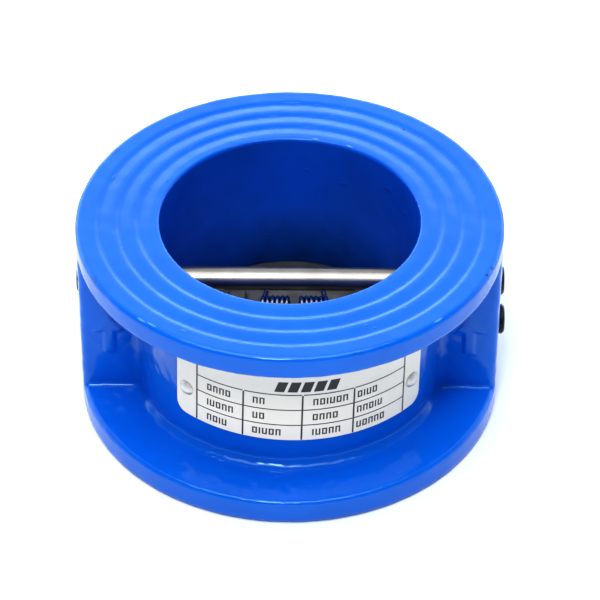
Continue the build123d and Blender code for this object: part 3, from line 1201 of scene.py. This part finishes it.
def paint(pieces, material):
    """Give pieces their one material."""
    for piece in pieces:
        piece.data.materials.clear()
        piece.data.materials.append(material)


# ---- stage

def make_floor():
    """The surface that the valve stands on."""
    reach = 4.0
    cells = 8
    grid = np.linspace(-reach, reach, cells + 1) / MM
    points = [(x, y, 0.0) for y in grid for x in grid]
    faces = []
    for row in range(cells):
        for column in range(cells):
            corner = row * (cells + 1) + column
            faces.append([corner, corner + 1, corner + cells + 2, corner + cells + 1])
    floor = new_piece("studio_floor", points, faces)
    paint([floor], pale_floor())


def make_light(name, place, size, power):
    """A white soft box that faces the valve's middle."""
    lamp = bpy.data.lights.new(name, "AREA")
    lamp.shape = "RECTANGLE"
    lamp.size, lamp.size_y = size
    lamp.energy = power
    holder = bpy.data.objects.new(name, lamp)
    holder.location = place
    holder.rotation_mode = "QUATERNION"
    holder.rotation_quaternion = (Vector(LIT_POINT) - Vector(place)).to_track_quat("-Z", "Y")
    bpy.context.scene.collection.objects.link(holder)


LIT_POINT = (0, 0, 0.03)
WALL_GLOW = 3.6
ROOF_GLOW = 1.15
FRONT_SHARE = 0.05
RIGHT_SHARE = 0.84
WHITE = (1, 1, 1, 1)
COOL = (0.55, 0.88, 1.0, 1)


def make_lights():
    """A white tent, brightest low down behind the valve, with a wide box overhead and a key box."""
    world = bpy.data.worlds.new("studio_sky")
    world.use_nodes = True
    tree = world.node_tree
    bpy.context.scene.world = world
    sky = add_node(tree, "TexCoord").outputs["Generated"]
    way = add_node(tree, "SeparateXYZ", {"Vector": sky}).outputs
    low = carried(tree, way["Z"], 0.62, 0.08)
    back = carried(tree, way["Y"], -0.05, 0.65, interpolation_type="SMOOTHSTEP")
    glow = carried(tree, low, 0.0, 1.0, ROOF_GLOW, WALL_GLOW)
    share = carried(tree, back, 0.0, 1.0, FRONT_SHARE, 1.0)
    dim = carried(tree, way["X"], -0.1, 0.8, 1.0, RIGHT_SHARE)
    strength = add_node(tree, "Math", {0: glow, 1: share}, operation="MULTIPLY").outputs["Value"]
    strength = add_node(tree, "Math", {0: strength, 1: dim}, operation="MULTIPLY").outputs["Value"]
    chill = add_node(tree, "Math", {0: low, 1: back}, operation="MULTIPLY").outputs["Value"]
    colour = add_node(tree, "Mix", {"Factor": chill, 6: WHITE, 7: COOL}, data_type="RGBA").outputs[2]
    tree.links.new(strength, tree.nodes["Background"].inputs["Strength"])
    tree.links.new(colour, tree.nodes["Background"].inputs["Color"])
    make_light("overhead_box", place=(-0.05, -0.25, 1.3), size=(1.3, 1.0), power=15.5)
    make_light("key_box", place=(-0.12, -0.69, 1.05), size=(0.26, 0.26), power=5.2)


def make_camera():
    """A long lens, looking down into the outlet from the front."""
    place = Vector((4.46, -628.38, 558.5)) * MM
    pitch, yaw, roll = 0.7018, 0.0029, 0.0047
    forward = Vector((0, math.cos(pitch), -math.sin(pitch)))
    up = Vector((0, math.sin(pitch), math.cos(pitch)))
    right = Vector((1, 0, 0))
    turn = Matrix.Rotation(yaw, 3, "Z")
    forward, up, right = turn @ forward, turn @ up, turn @ right
    side = math.cos(roll) * right + math.sin(roll) * up
    top = -math.sin(roll) * right + math.cos(roll) * up
    data = bpy.data.cameras.new("camera")
    data.sensor_width = 36.0
    data.lens = 194.0
    data.clip_start = 0.05
    data.clip_end = 20.0
    camera = bpy.data.objects.new("camera", data)
    camera.matrix_world = Matrix.Translation(place) @ Matrix((side, top, -forward)).transposed().to_4x4()
    bpy.context.scene.collection.objects.link(camera)
    bpy.context.scene.camera = camera
    bpy.context.scene.view_settings.view_transform = "Standard"
    bpy.context.scene.view_settings.look = "Medium High Contrast"


# ---- build

make_camera()
make_lights()
make_floor()

paint([make_body()], epoxy())
paint([make_seat()], rubber("epdm_seat", 0.022))
paint(make_plates(), stainless_cast())
ground = stainless_ground()
for pin in ("hinge", "stop"):
    paint([make_pin(f"ground_{pin}_pin", f"{pin}_pin")], ground)

ptfe = white_ptfe()
seal_rubber = rubber("plug_seal_rubber", 0.03)
oxide = black_oxide()
for side, word in ((-1, "left"), (1, "right")):
    for place in ("plate", "body"):
        node = f"{place}_bearing_{word}"
        paint([make_sleeve(f"sleeve_{place}_{word}", node)], ptfe)
    for pin in ("hinge", "stop"):
        paint([make_seal(f"soft_{pin}_seal_{word}", f"{pin}_seal_{word}")], seal_rubber)
        paint([make_plug(f"socket_{pin}_plug_{word}", f"{pin}_plug_{word}", side)], oxide)

wire = spring_steel()
paint(make_spring("left_spring", LEFT_SPRING_START, -1, REAR, FRONT), wire)
paint(make_spring("right_spring", RIGHT_SPRING_START, 1, FRONT, REAR), wire)

paint([make_nameplate()], nameplate_sheet())
lines, marks = make_print()
paint([lines], printing_ink("table_line_ink", 0.012))
paint([marks], printing_ink("cell_mark_ink", 0.014))
paint(make_rivets(), rivet_aluminium())
